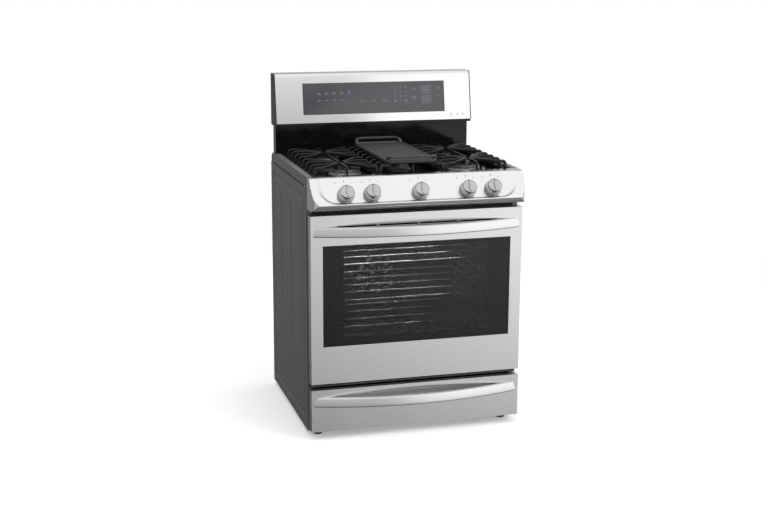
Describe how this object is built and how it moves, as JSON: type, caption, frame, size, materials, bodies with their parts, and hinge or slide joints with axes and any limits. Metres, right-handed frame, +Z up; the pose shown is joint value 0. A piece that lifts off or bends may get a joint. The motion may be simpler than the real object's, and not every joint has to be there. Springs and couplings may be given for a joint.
{
  "type": "gas range",
  "caption": "Freestanding gas range with burners under cast grates, a griddle, a glass-fronted convection oven, a storage drawer and a rear console.",
  "frame": {"origin": "centre of the footprint on the floor, midway between the knobs' fronts and the back", "axes": "+X to the user's right, +Y to the back, +Z up"},
  "size_m": [0.76, 0.7248, 1.212],
  "materials": {
    "painted_side": "satin dark grey paint",
    "stainless": "horizontally brushed stainless steel",
    "panel_steel": "satin stainless steel",
    "handle_steel": "satin stainless steel",
    "oven_enamel": "gloss porcelain enamel",
    "black_enamel": "gloss black porcelain enamel",
    "cast_iron": "matte black enamelled cast iron",
    "griddle_coat": "dark grey non-stick coat",
    "galvanised": "galvanised sheet",
    "drawer_paint": "grey painted sheet",
    "burner_steel": "aluminised tube",
    "burner_alloy": "cast aluminium",
    "valve_brass": "machined brass",
    "stem_steel": "machined steel",
    "knob_chrome": "satin chrome",
    "rack_wire": "plated wire",
    "door_glass": "tinted glass with a black printed border",
    "clear_glass": "clear heat-proof glass",
    "touch_glass": "dark smoked glass",
    "gasket_braid": "woven glass-fibre braid",
    "mineral_wool": "mineral wool blanket",
    "foot_plastic": "black moulded plastic",
    "cap_plastic": "black moulded plastic",
    "board_green": "circuit board",
    "igniter_ceramic": "glazed ceramic"
  },
  "bodies": {
    "root": {"side_panel_left": "painted_side", "side_panel_right": "painted_side", "back_panel": "galvanised", "upper_back_panel": "galvanised", "base_frame": "galvanised", "levelling_feet": "foot_plastic", "oven_liner": "oven_enamel", "oven_floor": "oven_enamel", "door_gasket": "gasket_braid", "insulation": "mineral_wool", "oven_burners": "burner_steel", "fan_cover": "oven_enamel", "fan_motor": "galvanised", "oven_lamp": "clear_glass", "cooktop": "black_enamel", "cooktop_trims": "painted_side", "burner_heads": "burner_alloy", "burner_caps": "cast_iron", "igniters": "igniter_ceramic", "burner_tubes": "burner_alloy", "control_panel": "panel_steel", "knob_bezels": "knob_chrome", "gas_manifold": "burner_steel", "gas_valves": "valve_brass", "gas_regulator": "burner_alloy", "backguard": "black_enamel", "console_panel": "stainless", "touch_glass": "touch_glass", "console_end_caps": "cap_plastic", "control_board": "board_green", "panel_screws": "galvanised", "hinge_receivers": "galvanised", "drawer_runners": "galvanised"},
    "fan": {"convection_fan": "galvanised"},
    "rack_lower": {"rack_lower": "rack_wire"},
    "rack_middle": {"rack_middle": "rack_wire"},
    "rack_upper": {"rack_upper": "rack_wire"},
    "grate_left": {"grate_left": "cast_iron"},
    "grate_centre": {"grate_centre": "cast_iron"},
    "grate_right": {"grate_right": "cast_iron"},
    "griddle": {"griddle": "griddle_coat"},
    "valve_stem_1": {"valve_stem_1": "stem_steel"},
    "knob_1": {"knob_1": "knob_chrome"},
    "valve_stem_2": {"valve_stem_2": "stem_steel"},
    "knob_2": {"knob_2": "knob_chrome"},
    "valve_stem_3": {"valve_stem_3": "stem_steel"},
    "knob_3": {"knob_3": "knob_chrome"},
    "valve_stem_4": {"valve_stem_4": "stem_steel"},
    "knob_4": {"knob_4": "knob_chrome"},
    "valve_stem_5": {"valve_stem_5": "stem_steel"},
    "knob_5": {"knob_5": "knob_chrome"},
    "door": {"door_skin": "stainless", "door_liner": "oven_enamel", "door_glass": "door_glass", "door_inner_glass": "clear_glass", "door_handle": "handle_steel", "door_hinges": "galvanised"},
    "drawer": {"drawer_front": "stainless", "drawer_box": "drawer_paint", "drawer_handle": "handle_steel"}
  },
  "joints": [
    {"name": "door_swing", "type": "hinge", "parent": "root", "child": "door", "pos_m": [0, -0.27858, 0.222], "axis": [1, 0, 0], "range_deg": [0, 90]},
    {"name": "drawer_slide", "type": "slide", "parent": "root", "child": "drawer", "axis": [0, -1, 0], "range_m": [0, 0.38]},
    {"name": "fan_spin", "type": "hinge", "parent": "root", "child": "fan", "pos_m": [0, 0.22742, 0.445], "axis": [0, 1, 0], "continuous": true},
    {"name": "rack_lower_slide", "type": "slide", "parent": "root", "child": "rack_lower", "axis": [0, -1, 0], "range_m": [0, 0.03]},
    {"name": "rack_middle_slide", "type": "slide", "parent": "root", "child": "rack_middle", "axis": [0, -1, 0], "range_m": [0, 0.03]},
    {"name": "rack_upper_slide", "type": "slide", "parent": "root", "child": "rack_upper", "axis": [0, -1, 0], "range_m": [0, 0.03]},
    {"name": "grate_left_lift", "type": "slide", "parent": "root", "child": "grate_left", "axis": [0, 0, 1], "range_m": [0, 0.1]},
    {"name": "grate_centre_lift", "type": "slide", "parent": "root", "child": "grate_centre", "axis": [0, 0, 1], "range_m": [0, 0.1]},
    {"name": "grate_right_lift", "type": "slide", "parent": "root", "child": "grate_right", "axis": [0, 0, 1], "range_m": [0, 0.1]},
    {"name": "griddle_lift", "type": "slide", "parent": "grate_centre", "child": "griddle", "axis": [0, 0, 1], "range_m": [0, 0.12]},
    {"name": "stem_1_turn", "type": "hinge", "parent": "root", "child": "valve_stem_1", "pos_m": [-0.26, -0.3206, 0.86197], "axis": [0, -0.8192, 0.5735], "range_deg": [0, 235]},
    {"name": "knob_1_push", "type": "slide", "parent": "valve_stem_1", "child": "knob_1", "axis": [0, 0.8192, -0.5735], "range_m": [0, 0.003], "stiffness_N_per_m": 1200, "springref_m": -0.001},
    {"name": "stem_2_turn", "type": "hinge", "parent": "root", "child": "valve_stem_2", "pos_m": [-0.169, -0.3206, 0.86197], "axis": [0, -0.8192, 0.5735], "range_deg": [0, 235]},
    {"name": "knob_2_push", "type": "slide", "parent": "valve_stem_2", "child": "knob_2", "axis": [0, 0.8192, -0.5735], "range_m": [0, 0.003], "stiffness_N_per_m": 1200, "springref_m": -0.001},
    {"name": "stem_3_turn", "type": "hinge", "parent": "root", "child": "valve_stem_3", "pos_m": [0, -0.3206, 0.86197], "axis": [0, -0.8192, 0.5735], "range_deg": [0, 235]},
    {"name": "knob_3_push", "type": "slide", "parent": "valve_stem_3", "child": "knob_3", "axis": [0, 0.8192, -0.5735], "range_m": [0, 0.003], "stiffness_N_per_m": 1200, "springref_m": -0.001},
    {"name": "stem_4_turn", "type": "hinge", "parent": "root", "child": "valve_stem_4", "pos_m": [0.169, -0.3206, 0.86197], "axis": [0, -0.8192, 0.5735], "range_deg": [0, 235]},
    {"name": "knob_4_push", "type": "slide", "parent": "valve_stem_4", "child": "knob_4", "axis": [0, 0.8192, -0.5735], "range_m": [0, 0.003], "stiffness_N_per_m": 1200, "springref_m": -0.001},
    {"name": "stem_5_turn", "type": "hinge", "parent": "root", "child": "valve_stem_5", "pos_m": [0.26, -0.3206, 0.86197], "axis": [0, -0.8192, 0.5735], "range_deg": [0, 235]},
    {"name": "knob_5_push", "type": "slide", "parent": "valve_stem_5", "child": "knob_5", "axis": [0, 0.8192, -0.5735], "range_m": [0, 0.003], "stiffness_N_per_m": 1200, "springref_m": -0.001}
  ]
}
